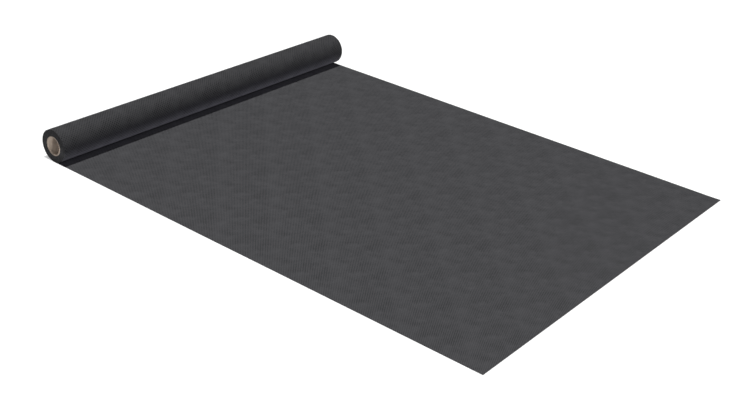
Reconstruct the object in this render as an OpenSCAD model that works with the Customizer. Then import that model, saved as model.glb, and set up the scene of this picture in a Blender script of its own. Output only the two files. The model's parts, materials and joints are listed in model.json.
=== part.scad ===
// Roll of house wrap: a breather membrane wound on a paper core, partly rolled out flat on the floor.
// The roll lies along X. The sheet leaves it at floor level and runs out towards -Y.
// The origin is on the floor, in the middle of the whole outline.

/* [Membrane] */
// Width of the sheet, which is also the length of the roll
sheet_width = 1500; // [500:50:3000]
// Thickness of the sheet
sheet_t = 0.5; // [0.4:0.05:1]
// Whole turns still wound on the core
wound_turns = 50; // [10:1:150]
// Length rolled out flat, from below the roll's axis to the cut edge
laid_length = 1875; // [300:25:5000]

/* [Turns on the ends] */
// Turns in each layer that stands out on the roll's ends
turns_per_layer = 5; // [3:1:10]
// Width of the dark line between two layers
line_width = 0.6; // [0.2:0.05:0.8]
// How far that line goes into the roll's end
line_depth = 1; // [0.3:0.1:4]

/* [Core tube] */
// Bore of the paper tube
core_bore = 63.5; // [38:0.5:160]
// Wall of the paper tube
core_wall = 5.5; // [2:0.25:12]
// How far the tube stands out of the roll at each end
core_proud = 0; // [0:0.5:30]
// Rounding of the tube's cut edges
core_edge = 0.8; // [0.2:0.1:0.9]
// Gap between the tube and the first turn
core_fit = 0.05; // [0.02:0.01:0.3]

/* [Hidden] */
$fn = 180;
core_r = core_bore / 2 + core_wall;
bore_r = core_r + core_fit;
roll_r = bore_r + wound_turns * sheet_t;
// The roll reaches roll_r behind its axis, so the outline is centred on Y = 0 from here
axis_y = (laid_length - roll_r) / 2;
layer = turns_per_layer * sheet_t;
layers = floor(wound_turns / turns_per_layer);
overcut = 1;

// A 2D section is drawn with its y up and its x along -Y, and stands on the YZ plane
module along_roll(length) {
    translate([-length / 2, axis_y, 0])
        rotate([90, 0, 90])
            linear_extrude(height = length) children();
}

// One half of the plane, behind (side = 1) or in front of (side = -1) the vertical through the axis
module half_plane(side) {
    reach = 2 * roll_r;
    translate([side > 0 ? 0 : -reach, -overcut]) square([reach, reach + 2 * overcut]);
}

// A half turn is an arc. Behind the axis it is centred on the axis. In front its centre is higher by
// half of the spiral's pitch, so each half turn runs smoothly into the next one, further in.
module half_turns(radii, side, pitch, width = 0) {
    rise = side > 0 ? 0 : pitch / 2;
    intersection() {
        translate([0, roll_r + rise])
            for (r = radii)
                difference() {
                    circle(r - rise);
                    if (width > 0) circle(r - rise - width);
                }
        half_plane(side);
    }
}

// The dark line between the layers, one spiral that ends half a turn before it would meet the tube
module layer_line() {
    for (side = [1, -1]) {
        last = side > 0 ? layers - 1 : layers - 2;
        half_turns([for (i = [1 : 1 : last]) roll_r - i * layer], side, layer, line_width);
    }
}

// The sheet comes in along the floor, passes under the roll, and goes up the back and over the top
module sheet_section() {
    difference() {
        union() {
            for (side = [1, -1]) half_turns([roll_r], side, sheet_t);
            translate([-laid_length, 0]) square([laid_length, sheet_t]);
        }
        translate([0, roll_r]) circle(bore_r);
    }
}

module membrane() {
    color([0.30, 0.30, 0.31]) {
        along_roll(sheet_width - 2 * line_depth) sheet_section();
        for (end = [-1, 1])
            translate([end * (sheet_width - line_depth) / 2, 0, 0])
                along_roll(line_depth)
                    difference() {
                        sheet_section();
                        layer_line();
                    }
    }
}

// The tube's wall cut through along the axis, with its sawn edges rounded
module tube_wall() {
    length = sheet_width + 2 * core_proud;
    translate([core_r - core_wall, -length / 2]) {
        translate([core_edge, 0]) square([core_wall - 2 * core_edge, length]);
        translate([0, core_edge]) square([core_wall, length - 2 * core_edge]);
        for (x = [core_edge, core_wall - core_edge], y = [core_edge, length - core_edge])
            translate([x, y]) circle(core_edge);
    }
}

module core_tube() {
    color([0.62, 0.50, 0.36])
        translate([0, axis_y, roll_r])
            rotate([0, 90, 0])
                rotate_extrude() tube_wall();
}

core_tube();
membrane();
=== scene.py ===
import json
import math

import bpy
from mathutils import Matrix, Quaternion, Vector, noise


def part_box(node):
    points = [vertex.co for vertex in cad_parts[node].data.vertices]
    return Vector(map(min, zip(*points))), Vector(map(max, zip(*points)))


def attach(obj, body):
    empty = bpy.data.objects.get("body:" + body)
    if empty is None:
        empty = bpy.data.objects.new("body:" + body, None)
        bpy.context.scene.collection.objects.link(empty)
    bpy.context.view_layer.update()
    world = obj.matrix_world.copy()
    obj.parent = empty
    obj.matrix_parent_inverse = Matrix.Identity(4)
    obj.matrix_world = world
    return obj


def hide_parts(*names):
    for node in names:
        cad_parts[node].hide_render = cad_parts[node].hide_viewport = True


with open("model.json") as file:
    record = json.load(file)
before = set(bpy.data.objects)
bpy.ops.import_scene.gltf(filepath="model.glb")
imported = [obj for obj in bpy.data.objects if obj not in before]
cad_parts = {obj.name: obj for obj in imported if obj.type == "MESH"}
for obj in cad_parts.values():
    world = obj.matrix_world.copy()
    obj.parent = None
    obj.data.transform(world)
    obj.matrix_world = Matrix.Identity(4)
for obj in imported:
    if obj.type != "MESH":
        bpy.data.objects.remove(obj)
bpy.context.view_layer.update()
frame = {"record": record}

mm = 0.001

# ---------------------------------------------------------------------------------------------
# Core tube. Strips of brown kraft paper are wound in a spiral on a mandrel and glued into a
# thick wall, and the tube is sawn to the sheet's width. The edges of its innermost and outermost
# strips leave a helical seam inside and outside, and the sawn ends show the plies.
# ---------------------------------------------------------------------------------------------
bore = next(m for m in frame["record"]["mounts"] if m["name"] == "core_bore")
axis = Vector(bore["pos_m"])
bore_radius = bore["dims"]["r_mm"] * mm
tube_low, tube_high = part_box("core_tube")
tube_radius = axis.z - tube_low.z
tube_end = tube_high.x

strip_pitch = 118 * mm
seam_width = 0.9 * mm
seam_depth = 0.25 * mm
seam_steps = 72
rim_radius = 0.8 * mm
rim_steps = 3
plies = 9
ply_relief = 0.12 * mm
smooth_angle = math.radians(35)
hair = 0.001 * mm
merge_within = 0.01 * mm
cut_within = 0.0001 * mm


def nothing_selected():
    """Leaves edit mode and lets go of everything, so that an operator acts on new pieces alone."""
    if bpy.context.object and bpy.context.object.mode != "OBJECT":
        bpy.ops.object.mode_set(mode="OBJECT")
    bpy.ops.object.select_all(action="DESELECT")


def helical_wall(name, radius, depth, start):
    """One skin of the wall: a strip's width with half a seam at each side, wound round the axis."""
    nothing_selected()
    middle = (start + strip_pitch / 2, axis.y, axis.z + radius)
    bpy.ops.mesh.primitive_plane_add(size=1, location=middle)
    wall = bpy.context.object
    wall.name = name
    bpy.ops.object.mode_set(mode="EDIT")
    bpy.ops.mesh.delete(type="ONLY_FACE")
    bpy.ops.object.mode_set(mode="OBJECT")
    wall.data.vertices.foreach_set("select", [v.co.y > 0 for v in wall.data.vertices])
    wall.data.edges.foreach_set("select", [False] * len(wall.data.edges))
    half = strip_pitch / 2
    places = [-half, -half + seam_width / 2, -half / 3, half / 3, half - seam_width / 2, half]
    bpy.ops.object.mode_set(mode="EDIT")
    bpy.ops.mesh.delete(type="VERT")
    bpy.ops.mesh.select_all(action="SELECT")
    bpy.ops.mesh.subdivide(number_cuts=len(places) - 2)
    bpy.ops.object.mode_set(mode="OBJECT")
    across = sorted(wall.data.vertices, key=lambda v: v.co.x)
    for vertex, x in zip(across, places):
        in_seam = abs(x) > half - seam_width / 4
        vertex.co = (x, 0, depth if in_seam else 0)
    bpy.ops.object.transform_apply(location=True, rotation=False, scale=False)
    wall.location = axis
    for vertex in wall.data.vertices:
        vertex.co -= axis
    turns = math.ceil(2 * tube_end / strip_pitch) + 2
    winding = wall.modifiers.new("winding", "SCREW")
    winding.axis = "X"
    winding.angle = 2 * math.pi
    winding.screw_offset = strip_pitch
    winding.iterations = turns
    winding.steps = seam_steps
    winding.render_steps = seam_steps
    winding.use_merge_vertices = True
    winding.merge_threshold = merge_within
    bpy.ops.object.modifier_apply(modifier=winding.name)
    bpy.ops.object.transform_apply(location=True, rotation=False, scale=False)
    return wall


def select_edges(piece, wanted):
    """Selects, in edit mode, the edges whose two ends both pass the test."""
    bpy.ops.object.mode_set(mode="OBJECT")
    mesh = piece.data
    mesh.vertices.foreach_set("select", [False] * len(mesh.vertices))
    mesh.polygons.foreach_set("select", [False] * len(mesh.polygons))
    passed = [wanted(vertex.co) for vertex in mesh.vertices]
    mesh.edges.foreach_set("select", [all(passed[i] for i in edge.vertices) for edge in mesh.edges])
    bpy.ops.object.mode_set(mode="EDIT")


def from_axis(point):
    """How far a point is from the line down the middle of the tube."""
    return math.hypot(point.y - axis.y, point.z - axis.z)


def turn_rim(wall, side, radius, inward):
    """Rounds one sawn end of a skin over towards the middle of the wall."""
    cut = side * (tube_end - rim_radius)
    bpy.ops.mesh.select_all(action="SELECT")
    plane = {"plane_co": (cut, 0, 0), "plane_no": (side, 0, 0)}
    bpy.ops.mesh.bisect(**plane, clear_outer=True, threshold=cut_within)
    select_edges(wall, lambda co: abs(co.x - cut) < hair)
    before_x, before_r = 0, radius
    for step in range(1, rim_steps + 1):
        bend = step / rim_steps * math.pi / 2
        out = rim_radius * math.sin(bend)
        r = radius + inward * rim_radius * (1 - math.cos(bend))
        move = {"value": (side * (out - before_x), 0, 0)}
        bpy.ops.mesh.extrude_edges_move(TRANSFORM_OT_translate=move)
        bpy.ops.transform.resize(value=(1, r / before_r, r / before_r), center_override=axis)
        before_x, before_r = out, r


outside_start = -tube_end - 1.5 * strip_pitch
inside_start = -tube_end - strip_pitch
outside = helical_wall("tube_outside", tube_radius, -seam_depth, outside_start)
inside = helical_wall("tube_inside", bore_radius, seam_depth, inside_start)
for wall, radius, inward in ((outside, tube_radius, -1), (inside, bore_radius, 1)):
    nothing_selected()
    bpy.context.view_layer.objects.active = wall
    wall.select_set(True)
    bpy.ops.object.mode_set(mode="EDIT")
    bpy.ops.mesh.select_all(action="SELECT")
    bpy.ops.mesh.remove_doubles(threshold=merge_within)
    for side in (-1, 1):
        turn_rim(wall, side, radius, inward)

nothing_selected()
core_tube = outside
core_tube.name = "paper_core"
inside.select_set(True)
core_tube.select_set(True)
bpy.context.view_layer.objects.active = core_tube
bpy.ops.object.join()
bpy.ops.object.mode_set(mode="EDIT")
ply = (tube_radius - bore_radius - 2 * rim_radius) / plies
for side in (-1, 1):
    end = side * tube_end
    inner = bore_radius + 2 * rim_radius
    select_edges(core_tube, lambda co: abs(co.x - end) < hair and from_axis(co) < inner)
    bpy.ops.transform.translate(value=(side * strip_pitch, 0, 0))
    select_edges(core_tube, lambda co: side * (co.x - end) > -hair)
    bpy.ops.mesh.bridge_edge_loops(number_cuts=2 * plies - 1, interpolation="LINEAR")
    select_edges(core_tube, lambda co: side * (co.x - end) > -hair)
    bpy.ops.transform.resize(value=(0, 1, 1), center_override=(end, axis.y, axis.z))
    for line in range(1, plies):
        middle = bore_radius + rim_radius + line * ply
        select_edges(
            core_tube, lambda co: side * (co.x - end) > -hair and abs(from_axis(co) - middle) < ply / 4
        )
        bpy.ops.transform.translate(value=(-side * ply_relief, 0, 0))
bpy.ops.mesh.select_all(action="SELECT")
bpy.ops.mesh.normals_make_consistent(inside=False)
nothing_selected()
bpy.context.view_layer.objects.active = core_tube
core_tube.select_set(True)
bpy.ops.object.shade_smooth_by_angle(angle=smooth_angle)
core_tube.data.name = core_tube.name


def new_material(name):
    """An empty material with its shader, and a short way to add and link nodes in it."""
    material = bpy.data.materials.new(name)
    material.use_nodes = True
    return material, material.node_tree.nodes, material.node_tree.links


def give(tree, socket, value):
    """Gives an input a number, or links another node's output to it."""
    if isinstance(value, (int, float)):
        socket.default_value = value
    else:
        tree.links.new(value, socket)


def math_node(tree, operation, *values):
    """Adds one Math node. Each value is a number or another node's output."""
    node = tree.nodes.new("ShaderNodeMath")
    node.operation = operation
    for socket, value in zip(node.inputs, values):
        give(tree, socket, value)
    return node.outputs[0]


def parts_of(tree, vector):
    """The three parts of a vector, each as its own output."""
    node = tree.nodes.new("ShaderNodeSeparateXYZ")
    tree.links.new(vector, node.inputs[0])
    return node.outputs


def eased(tree, value, span, levels):
    """Goes smoothly from one level to the other while the value crosses the span."""
    node = tree.nodes.new("ShaderNodeMapRange")
    node.interpolation_type = "SMOOTHSTEP"
    for name, number in zip(("From Min", "From Max", "To Min", "To Max"), (*span, *levels)):
        node.inputs[name].default_value = number
    tree.links.new(value, node.inputs["Value"])
    return node.outputs[0]


def one_or_other(tree, choice, first, second):
    """The first value where the choice is 0, and the second where it is 1."""
    node = tree.nodes.new("ShaderNodeMix")
    node.data_type = "FLOAT"
    for socket, value in (("Factor", choice), ("A", first), ("B", second)):
        give(tree, node.inputs[socket], value)
    return node.outputs["Result"]


def relief(tree, height, strength, depth):
    """A fine relief in the shading, as deep as given where the height goes from 0 to 1."""
    node = tree.nodes.new("ShaderNodeBump")
    node.inputs["Strength"].default_value = strength
    node.inputs["Distance"].default_value = depth
    tree.links.new(height, node.inputs["Height"])
    return node.outputs[0]


def fibre_group():
    """Matted fibres: soft clouds and fine fibres, as one shade round 1 and a height."""
    group = bpy.data.node_groups.new("matted_fibres", "ShaderNodeTree")
    sides = (
        ("Vector", "INPUT", "NodeSocketVector", None),
        ("Cloud scale", "INPUT", "NodeSocketFloat", 10.0),
        ("Cloud strength", "INPUT", "NodeSocketFloat", 0.05),
        ("Fibre scale", "INPUT", "NodeSocketFloat", 1000.0),
        ("Fibre strength", "INPUT", "NodeSocketFloat", 0.1),
        ("Shade", "OUTPUT", "NodeSocketFloat", None),
        ("Height", "OUTPUT", "NodeSocketFloat", None),
    )
    for name, side, kind, value in sides:
        socket = group.interface.new_socket(name=name, in_out=side, socket_type=kind)
        if value is not None:
            socket.default_value = value
    given = group.nodes.new("NodeGroupInput").outputs
    taken = group.nodes.new("NodeGroupOutput").inputs
    clouds = group.nodes.new("ShaderNodeTexNoise")
    clouds.inputs["Detail"].default_value = 2.0
    clouds.inputs["Roughness"].default_value = 0.55
    group.links.new(given["Vector"], clouds.inputs["Vector"])
    group.links.new(given["Cloud scale"], clouds.inputs["Scale"])
    fibres = group.nodes.new("ShaderNodeTexNoise")
    fibres.inputs["Detail"].default_value = 3.0
    fibres.inputs["Roughness"].default_value = 0.6
    group.links.new(given["Vector"], fibres.inputs["Vector"])
    group.links.new(given["Fibre scale"], fibres.inputs["Scale"])
    cloudy = math_node(group, "SUBTRACT", clouds.outputs[0], 0.5)
    fibrous = math_node(group, "SUBTRACT", fibres.outputs[0], 0.5)
    shade = math_node(group, "MULTIPLY_ADD", cloudy, given["Cloud strength"], 1.0)
    shade = math_node(group, "MULTIPLY_ADD", fibrous, given["Fibre strength"], shade)
    group.links.new(shade, taken["Shade"])
    group.links.new(fibres.outputs[0], taken["Height"])
    return group


matted_fibres = fibre_group()


def place_fibres(tree, vector, cloud_scale, cloud_strength, fibre_scale, fibre_strength):
    """Puts the shared fibre effect into a material with that material's own values."""
    node = tree.nodes.new("ShaderNodeGroup")
    node.node_tree = matted_fibres
    tree.links.new(vector, node.inputs["Vector"])
    node.inputs["Cloud scale"].default_value = cloud_scale
    node.inputs["Cloud strength"].default_value = cloud_strength
    node.inputs["Fibre scale"].default_value = fibre_scale
    node.inputs["Fibre strength"].default_value = fibre_strength
    return node.outputs["Shade"], node.outputs["Height"]


def shaded_colour(tree, colour, shade):
    """One plain colour made lighter or darker over the surface by a factor."""
    scale = tree.nodes.new("ShaderNodeVectorMath")
    scale.operation = "SCALE"
    scale.inputs[0].default_value = colour
    tree.links.new(shade, scale.inputs["Scale"])
    return scale.outputs[0]


kraft_colour = (0.50, 0.415, 0.345)
kraft_roughness = 0.82
kraft_gloss = 0.3
kraft_stretch = 0.2
glue_dark = 0.34
glue_spread = 2.2 * mm
ply_change = 0.3
ply_glue_dark = 0.25
ply_glue_share = 0.3
sawn_pale = 0.15
sawn_band = 2.5 * mm
paper_relief = 0.2 * mm
paper_bump = 0.5

kraft, nodes, links = new_material("kraft_paper_wound")
tree = kraft.node_tree
shader = nodes["Principled BSDF"]
shader.inputs["Roughness"].default_value = kraft_roughness
shader.inputs["Specular IOR Level"].default_value = kraft_gloss
centred = nodes.new("ShaderNodeMapping")
centred.inputs["Location"].default_value = -axis
links.new(nodes.new("ShaderNodeTexCoord").outputs["Object"], centred.inputs["Vector"])
along, across, up = parts_of(tree, centred.outputs[0])
across_squared = math_node(tree, "MULTIPLY", across, across)
from_middle = math_node(tree, "SQRT", math_node(tree, "MULTIPLY_ADD", up, up, across_squared))
to_cut = math_node(tree, "SUBTRACT", tube_end, math_node(tree, "ABSOLUTE", along))

# The paper's fibres run along the strips, so they are drawn out round the tube.
drawn_out = nodes.new("ShaderNodeMapping")
drawn_out.inputs["Scale"].default_value = (1, kraft_stretch, kraft_stretch)
links.new(centred.outputs[0], drawn_out.inputs["Vector"])
paper_shade, paper_height = place_fibres(
    tree,
    drawn_out.outputs[0],
    cloud_scale=24.0,
    cloud_strength=0.35,
    fibre_scale=900.0,
    fibre_strength=0.5,
)

# How many strips the winding has laid at this place. A whole number is a seam, dark with glue.
turned = math_node(tree, "DIVIDE", math_node(tree, "ARCTAN2", across, up), 2 * math.pi)
inner_skin = math_node(tree, "LESS_THAN", from_middle, (bore_radius + tube_radius) / 2)
seam_start = math_node(tree, "MULTIPLY_ADD", inner_skin, inside_start - outside_start, outside_start)
laid = math_node(tree, "DIVIDE", math_node(tree, "SUBTRACT", along, seam_start), strip_pitch)
to_seam = math_node(tree, "PINGPONG", math_node(tree, "ADD", laid, turned), 0.5)
skin_shade = eased(tree, to_seam, (0, glue_spread / strip_pitch), (1 - glue_dark, 1))
sawn_shade = eased(tree, to_cut, (0, sawn_band), (1 + sawn_pale, 1))
skin_shade = math_node(tree, "MULTIPLY", skin_shade, sawn_shade)

# The sawn ends show each ply in its own tone, with a thin line of glue between two plies.
past_bore = math_node(tree, "SUBTRACT", from_middle, bore_radius + rim_radius)
ply_at = math_node(tree, "DIVIDE", past_bore, ply)
ply_tone = nodes.new("ShaderNodeTexWhiteNoise")
ply_tone.noise_dimensions = "1D"
links.new(math_node(tree, "FLOOR", ply_at), ply_tone.inputs["W"])
end_shade = math_node(tree, "MULTIPLY_ADD", ply_tone.outputs["Value"], ply_change, 1 - ply_change / 2)
to_glue = math_node(tree, "PINGPONG", ply_at, 0.5)
between = eased(tree, to_glue, (0, ply_glue_share), (1 - ply_glue_dark, 1))
end_shade = math_node(tree, "MULTIPLY", end_shade, between)
on_end = math_node(tree, "LESS_THAN", to_cut, 2 * ply_relief)
place_shade = one_or_other(tree, on_end, skin_shade, end_shade)
paper_shade = math_node(tree, "MULTIPLY", paper_shade, place_shade)
links.new(shaded_colour(tree, kraft_colour, paper_shade), shader.inputs["Base Color"])
links.new(relief(tree, paper_height, paper_bump, paper_relief), shader.inputs["Normal"])
core_tube.data.materials.clear()
core_tube.data.materials.append(kraft)

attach(core_tube, "root")
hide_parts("core_tube")

# ---------------------------------------------------------------------------------------------
# House wrap. One length of dark nonwoven membrane is wound turn on turn on the core, and its last
# metres lie flat on the floor. It is two point-bonded fleeces pressed together, so the roll shows
# the underside and the laid part the top. The turns' cut edges show on the roll's two ends.
# ---------------------------------------------------------------------------------------------
sheet_low, sheet_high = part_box("membrane")
sheet_half = sheet_high.x
roll_radius = axis.z
turn_pitch = 0.5 * mm
sheet_t = 0.46 * mm
half_turns = 2 * round((roll_radius - tube_radius) / turn_pitch) - 1
steps_in_half = 48
laid_rows = 72
laid_columns = 24
edge_wander = 0.5 * mm
edge_waves = 2.1
edge_noise_row = 7.0
edge_apart = 1.0 * mm
ripple_height = 0.6 * mm
ripple_waves = 1.9
ripple_noise_row = 3.0
ripple_fades = 0.15
curl_height = 1.0 * mm
curl_length = 0.06

# Every row across the sheet: how far it is from the free edge, its place on the underside, which
# way the underside faces, and the columns that it needs. Only the outer turn is seen from its side.
rows = []
laid_length = axis.y - sheet_low.y
for step in range(laid_rows):
    travelled = laid_length * step / laid_rows
    rows.append((travelled, sheet_low.y + travelled, 0.0, (0.0, -1.0), laid_columns))
travelled = laid_length
for half in range(half_turns):
    in_front = half % 2
    radius = roll_radius - turn_pitch * half / 2
    centre_z = axis.z + in_front * turn_pitch / 2
    last = half == half_turns - 1
    for step in range(steps_in_half + last):
        bend = math.pi * (half + step / steps_in_half)
        out = (math.sin(bend), -math.cos(bend))
        length = travelled + math.pi * radius * step / steps_in_half
        columns = laid_columns if half < 2 else 1
        rows.append((length, axis.y + radius * out[0], centre_z + radius * out[1], out, columns))
    travelled += math.pi * radius

points = []
places = []
row_starts = []
top_edge_points = set()
for length, y, z, out, columns in rows:
    row_starts.append(len(points))
    for side in (0, sheet_t):
        for column in range(columns + 1):
            u = (2 * column / columns - 1) * sheet_half
            x = u
            if column in (0, columns):
                noise_place = Vector((edge_waves * length, math.copysign(edge_noise_row, u), 0.0))
                x += edge_wander * noise.noise(noise_place)
            lift = 0.0
            if length < laid_length:
                noise_place = Vector((ripple_waves * u, ripple_waves * length, ripple_noise_row))
                ripple = noise.noise(noise_place)
                fade = min(1.0, (laid_length - length) / ripple_fades)
                lift = ripple_height * fade * (0.5 + 0.5 * ripple)
                lift += curl_height * max(0.0, 1 - length / curl_length) ** 2
            if side:
                top_edge_points.add(len(points))
            points.append((x, y - side * out[0], z - side * out[1] + lift))
            places.append((u, length))

# Faces between each row and the next, with a note of which lie on the sheet's underside. Where the
# rows change from many columns to one, a fan joins them.
faces = []
edge_faces = []
underside = []
for near, far, near_row, far_row in zip(row_starts, row_starts[1:], rows, rows[1:]):
    columns = near_row[-1]
    far_columns = far_row[-1]
    for side in (0, 1):
        near_side = near + side * (columns + 1)
        far_side = far + side * (far_columns + 1)
        spans = [(near_side + c, near_side + c + 1) for c in range(columns)]
        if columns == far_columns:
            made = [(*span, far_side + c + 1, far_side + c) for c, span in enumerate(spans)]
        else:
            middle = columns // 2
            made = [(*span, far_side + (c >= middle)) for c, span in enumerate(spans)]
            made.append((near_side + middle, far_side + 1, far_side))
        faces += made if side else [face[::-1] for face in made]
        underside += [1 - side] * len(made)
    near_top = near + columns + 1
    far_top = far + far_columns + 1
    edge_faces.append((near, near_top, far_top, far))
    edge_faces.append((near + columns, far + far_columns, far_top + far_columns, near_top + columns))
faces_of_sides = len(faces)
last = row_starts[-1]
faces += edge_faces
faces += [(c, c + 1, laid_columns + c + 2, laid_columns + c + 1) for c in range(laid_columns)]
faces.append((last, last + 2, last + 3, last + 1))

# The map is the sheet laid flat, in metres. The cut edges get a strip of their own beside it.
mesh = bpy.data.meshes.new("house_wrap")
mesh.from_pydata(points, [], faces)
mesh.update()
flat_map = mesh.uv_layers.new(name="sheet_metres")
corner_points = [0] * len(mesh.loops)
mesh.loops.foreach_get("vertex_index", corner_points)
corner_places = [list(places[point]) for point in corner_points]
for face in mesh.polygons[faces_of_sides : faces_of_sides + len(edge_faces)]:
    for corner in face.loop_indices:
        u, length = places[corner_points[corner]]
        on_top = corner_points[corner] in top_edge_points
        corner_places[corner][0] = math.copysign(sheet_half + edge_apart + on_top * sheet_t, u)
flat_map.data.foreach_set("uv", [value for place in corner_places for value in place])
underside += [0] * (len(faces) - faces_of_sides)
mesh.attributes.new("underside", "FLOAT", "FACE").data.foreach_set("value", underside)
house_wrap = bpy.data.objects.new("house_wrap", mesh)
bpy.context.scene.collection.objects.link(house_wrap)
nothing_selected()
bpy.context.view_layer.objects.active = house_wrap
house_wrap.select_set(True)
bpy.ops.object.shade_smooth_by_angle(angle=smooth_angle)

wrap_colour = (0.0614, 0.0614, 0.0652)
wrap_roughness = 0.86
wrap_gloss = 0.2
# The underside, which the roll shows outside, is painted darker than the top: painted shade on the
# roll.
painted_under_shade = 0.80
top_pitch = 5.3 * mm
under_pitch = 8.17 * mm
bond_cross = 0.85
bond_edge = (-0.4, 1.3)
top_dark = 0.9
under_dark = 0.78
bond_share = 0.34
bond_smooth = 0.18
bond_depth = 0.07 * mm
bond_bump = 0.6
fibre_rise = 0.6
cloud_repeat = 254 * mm
cloud_cells = 0.8
cloud_detail = 4.0
cloud_breaks = 0.62
cloud_strength = 0.95
thin_to_thick = (0.36, 0.62)
thin_bond = 1.4
thick_bond = 0.6
# The cut edges are painted light in mid thickness and painted shade at both faces, for rounded edges
# and gaps between turns.
painted_edge_light = 1.05
painted_edge_shade = 0.55


def wave(tree, operation, place, length):
    """A sine or cosine that comes round again after the given length of the sheet."""
    turns = math_node(tree, "DIVIDE", place, length)
    return math_node(tree, operation, math_node(tree, "MULTIPLY", turns, 2 * math.pi))


membrane, nodes, links = new_material("nonwoven_membrane")
tree = membrane.node_tree
shader = nodes["Principled BSDF"]
shader.inputs["Specular IOR Level"].default_value = wrap_gloss
flat = nodes.new("ShaderNodeUVMap")
flat.uv_map = mesh.uv_layers[0].name
across, along, _ = parts_of(tree, flat.outputs[0])
rising = math_node(tree, "ADD", across, along)
falling = math_node(tree, "SUBTRACT", across, along)

# Bond points: two diagonal waves crossed, the one stronger than the other. Where both are high, the
# hot roller has pressed the fibres to a smoother, darker point. The top and the underside are two
# fleeces, each bonded on its own roller, so the points' pitch and lean differ.
side_of_sheet = nodes.new("ShaderNodeAttribute")
side_of_sheet.attribute_name = "underside"
below = side_of_sheet.outputs["Fac"]
one_way = one_or_other(tree, below, falling, rising)
other_way = one_or_other(tree, below, rising, falling)
diagonal = one_or_other(tree, below, top_pitch * math.sqrt(2), under_pitch * math.sqrt(2))
one_wave = wave(tree, "COSINE", one_way, diagonal)
other_wave = wave(tree, "COSINE", other_way, diagonal)
crossed = math_node(tree, "MULTIPLY_ADD", other_wave, bond_cross, one_wave)
bonded = eased(tree, crossed, bond_edge, (0, 1))
dark = one_or_other(tree, below, top_dark, under_dark)

# Clouds of more and fewer fibres, as they fall on the laying belt. The belt's round repeats them.
clouds = nodes.new("ShaderNodeTexNoise")
clouds.noise_dimensions = "4D"
clouds.inputs["Scale"].default_value = cloud_cells
clouds.inputs["Detail"].default_value = cloud_detail
clouds.inputs["Roughness"].default_value = cloud_breaks
belt = nodes.new("ShaderNodeCombineXYZ")
links.new(wave(tree, "COSINE", rising, cloud_repeat), belt.inputs[0])
links.new(wave(tree, "SINE", rising, cloud_repeat), belt.inputs[1])
links.new(wave(tree, "COSINE", falling, cloud_repeat), belt.inputs[2])
links.new(belt.outputs[0], clouds.inputs["Vector"])
links.new(wave(tree, "SINE", falling, cloud_repeat), clouds.inputs["W"])
cloud_shade = math_node(tree, "MULTIPLY_ADD", clouds.outputs[0], cloud_strength, 1 - cloud_strength / 2)
thin = eased(tree, clouds.outputs[0], thin_to_thick, (thin_bond, thick_bond))
dark = math_node(tree, "MULTIPLY", dark, thin)
off_mean = math_node(tree, "SUBTRACT", bond_share, bonded)
bonds_and_painted_shade = math_node(tree, "MULTIPLY_ADD", off_mean, dark, 1)
# The underside, seen on the outside of the roll, is darkened: painted shade that deepens the roll's
# shading beyond what the lamps give.
painted_side_shade = one_or_other(tree, below, 1, painted_under_shade)
bonds_and_painted_shade = math_node(tree, "MULTIPLY", bonds_and_painted_shade, painted_side_shade)

# The fibres themselves, and patches a few bond points wide where they lie thicker.
fibre_shade, fibre_height = place_fibres(
    tree,
    flat.outputs[0],
    cloud_scale=11.0,
    cloud_strength=0.2,
    fibre_scale=1400.0,
    fibre_strength=0.35,
)
patch_shade, _ = place_fibres(
    tree,
    flat.outputs[0],
    cloud_scale=95.0,
    cloud_strength=0.28,
    fibre_scale=300.0,
    fibre_strength=0.3,
)
face_shade = math_node(tree, "MULTIPLY", fibre_shade, patch_shade)
face_shade = math_node(tree, "MULTIPLY", face_shade, math_node(tree, "MULTIPLY", cloud_shade, bonds_and_painted_shade))

# Past the sheet's half width the map holds its cut edges. Each is painted palest in mid thickness and
# darker towards both faces: painted shade of the rounded edges and the gaps between turns.
past = math_node(tree, "SUBTRACT", math_node(tree, "ABSOLUTE", across), sheet_half + edge_apart)
off_middle = math_node(tree, "ABSOLUTE", math_node(tree, "MULTIPLY_ADD", past, 2 / sheet_t, -1))
off_middle = math_node(tree, "POWER", off_middle, 2)
painted_edge_profile = math_node(tree, "MULTIPLY_ADD", off_middle, -painted_edge_shade, painted_edge_light)
cut_fibres_and_painted_shade = math_node(tree, "MULTIPLY", fibre_shade, painted_edge_profile)
on_edge = math_node(tree, "GREATER_THAN", past, -edge_apart / 2)
shade = one_or_other(tree, on_edge, face_shade, cut_fibres_and_painted_shade)
links.new(shaded_colour(tree, wrap_colour, shade), shader.inputs["Base Color"])
roughness = math_node(tree, "MULTIPLY_ADD", bonded, -bond_smooth, wrap_roughness)
links.new(roughness, shader.inputs["Roughness"])
fibres_up = math_node(tree, "MULTIPLY", fibre_height, fibre_rise)
height = math_node(tree, "SUBTRACT", fibres_up, bonded)
links.new(relief(tree, height, bond_bump, bond_depth), shader.inputs["Normal"])
house_wrap.data.materials.append(membrane)

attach(house_wrap, "root")
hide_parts("membrane")

# ---------------------------------------------------------------------------------------------
# Floor, lamps and camera. A white floor, one lamp straight above and an even pale sky. Two low
# strips lift the roll's underside and the shade below it, as a bright room's floor would, and two
# small lamps shine into the tube's open end.
# ---------------------------------------------------------------------------------------------
floor_size = 40.0
floor_depth = 0.1 * mm
floor_colour = (0.65, 0.65, 0.65)
floor_glow = 0.5
sky_level = 0.05
top_level = 0.955
top_lean = math.radians(1.0)
top_softness = math.radians(5.0)
top_distance = 5.0
strip_colour = (0.87, 0.86, 1.0)
front_strip_level = 0.40
front_strip_width = 105 * mm
front_strip_place = (0, axis.y - roll_radius - 30 * mm, 3 * mm)
under_strip_level = 0.028
under_strip_width = 38 * mm
under_strip_place = (0, axis.y - 39 * mm, 4.2 * mm)
bore_fill_level = 4.4
bore_fill_from = (-0.48, -0.36, 0.24)
bore_fill_cone = math.radians(7.0)
bore_fill_size = 30 * mm
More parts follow.
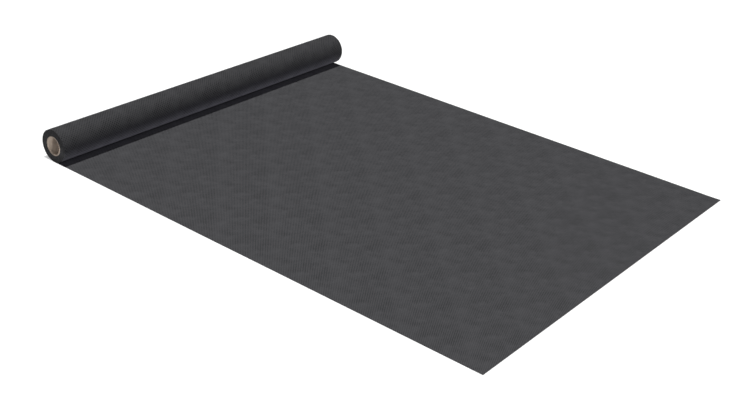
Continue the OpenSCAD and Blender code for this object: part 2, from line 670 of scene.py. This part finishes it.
bore_edge_level = 0.62
bore_edge_from = (-0.052, -0.185, -0.052)
bore_edge_cone = math.radians(17.0)
bore_edge_size = 4 * mm
cone_blend = 0.6
lens = 58.114
camera_place = (-3.11775, -2.39208, 1.92097)
camera_aim = (-0.208, -0.1377, 0)
camera_roll = math.radians(3.69)

nothing_selected()
bpy.ops.mesh.primitive_plane_add(size=floor_size, location=(0, 0, -floor_depth))
floor = bpy.context.object
floor.name = "studio_floor"
white, nodes, links = new_material("white_floor")
shader = nodes["Principled BSDF"]
shader.inputs["Base Color"].default_value = (*floor_colour, 1)
shader.inputs["Roughness"].default_value = 1.0
shader.inputs["Specular IOR Level"].default_value = 0.0
shader.inputs["Emission Color"].default_value = (1, 1, 1, 1)
seen = nodes.new("ShaderNodeLightPath").outputs
glow = math_node(white.node_tree, "MAXIMUM", seen["Is Camera Ray"], seen["Is Glossy Ray"])
glow = math_node(white.node_tree, "MULTIPLY", glow, floor_glow)
links.new(glow, shader.inputs["Emission Strength"])
floor.data.materials.append(white)


def add_lamp(name, kind, level, place, turn, **settings):
    """Adds a lamp of the given kind at its place, turned as given, that the camera doesn't see."""
    data = bpy.data.lights.new(name, kind)
    data.energy = level
    for setting, value in settings.items():
        setattr(data, setting, value)
    lamp = bpy.data.objects.new(name, data)
    lamp.location = place
    lamp.rotation_euler = turn
    lamp.visible_camera = False
    bpy.context.scene.collection.objects.link(lamp)


def low_strip(name, level, width, place, turn):
    """A strip of light as long as the roll."""
    shape = {"shape": "RECTANGLE", "size": 2 * sheet_half, "size_y": width}
    add_lamp(name, "AREA", level, place, turn, **shape, color=strip_colour)


def bore_lamp(name, level, place, cone, size):
    """A small lamp that shines at the middle of the tube's open end, and is placed from there."""
    from_end = Vector((-sheet_half, axis.y, axis.z)) + Vector(place)
    turn = Vector(place).to_track_quat("Z", "Y").to_euler()
    shape = {"spot_size": cone, "spot_blend": cone_blend, "shadow_soft_size": size}
    add_lamp(name, "SPOT", level, from_end, turn, **shape)


# The lamp above is so far off that its light is parallel. Its level is what a level surface gets.
towards_top = Vector((0, -math.sin(top_lean), math.cos(top_lean)))
add_lamp(
    "top_lamp",
    "SUN",
    math.pi * top_level / math.cos(top_lean),
    top_distance * towards_top,
    towards_top.to_track_quat("Z", "Y").to_euler(),
    angle=top_softness,
)
low_strip("low_strip", front_strip_level, front_strip_width, front_strip_place, (math.pi, 0, 0))
low_strip("under_fill", under_strip_level, under_strip_width, under_strip_place, (0, 0, 0))
bore_lamp("bore_fill", bore_fill_level, bore_fill_from, bore_fill_cone, bore_fill_size)
bore_lamp("bore_edge", bore_edge_level, bore_edge_from, bore_edge_cone, bore_edge_size)

sky = bpy.data.worlds.new("pale_sky")
bpy.context.scene.world = sky
sky.use_nodes = True
nodes = sky.node_tree.nodes
links = sky.node_tree.links
seen = nodes.new("ShaderNodeLightPath").outputs
level = nodes.new("ShaderNodeMapRange")
level.inputs["To Min"].default_value = sky_level
level.inputs["To Max"].default_value = 1.0
links.new(seen["Is Camera Ray"], level.inputs["Value"])
links.new(level.outputs[0], nodes["Background"].inputs["Strength"])
nodes["Background"].inputs["Color"].default_value = (1, 1, 1, 1)

camera_data = bpy.data.cameras.new("camera")
camera_data.sensor_width = 36
camera_data.lens = lens
camera = bpy.data.objects.new("camera", camera_data)
bpy.context.scene.collection.objects.link(camera)
camera.location = camera_place
back = (camera.location - Vector(camera_aim)).normalized()
camera.rotation_mode = "QUATERNION"
camera.rotation_quaternion = back.to_track_quat("Z", "Y") @ Quaternion((0, 0, 1), camera_roll)
bpy.context.scene.camera = camera

bpy.context.scene.view_settings.view_transform = "Standard"
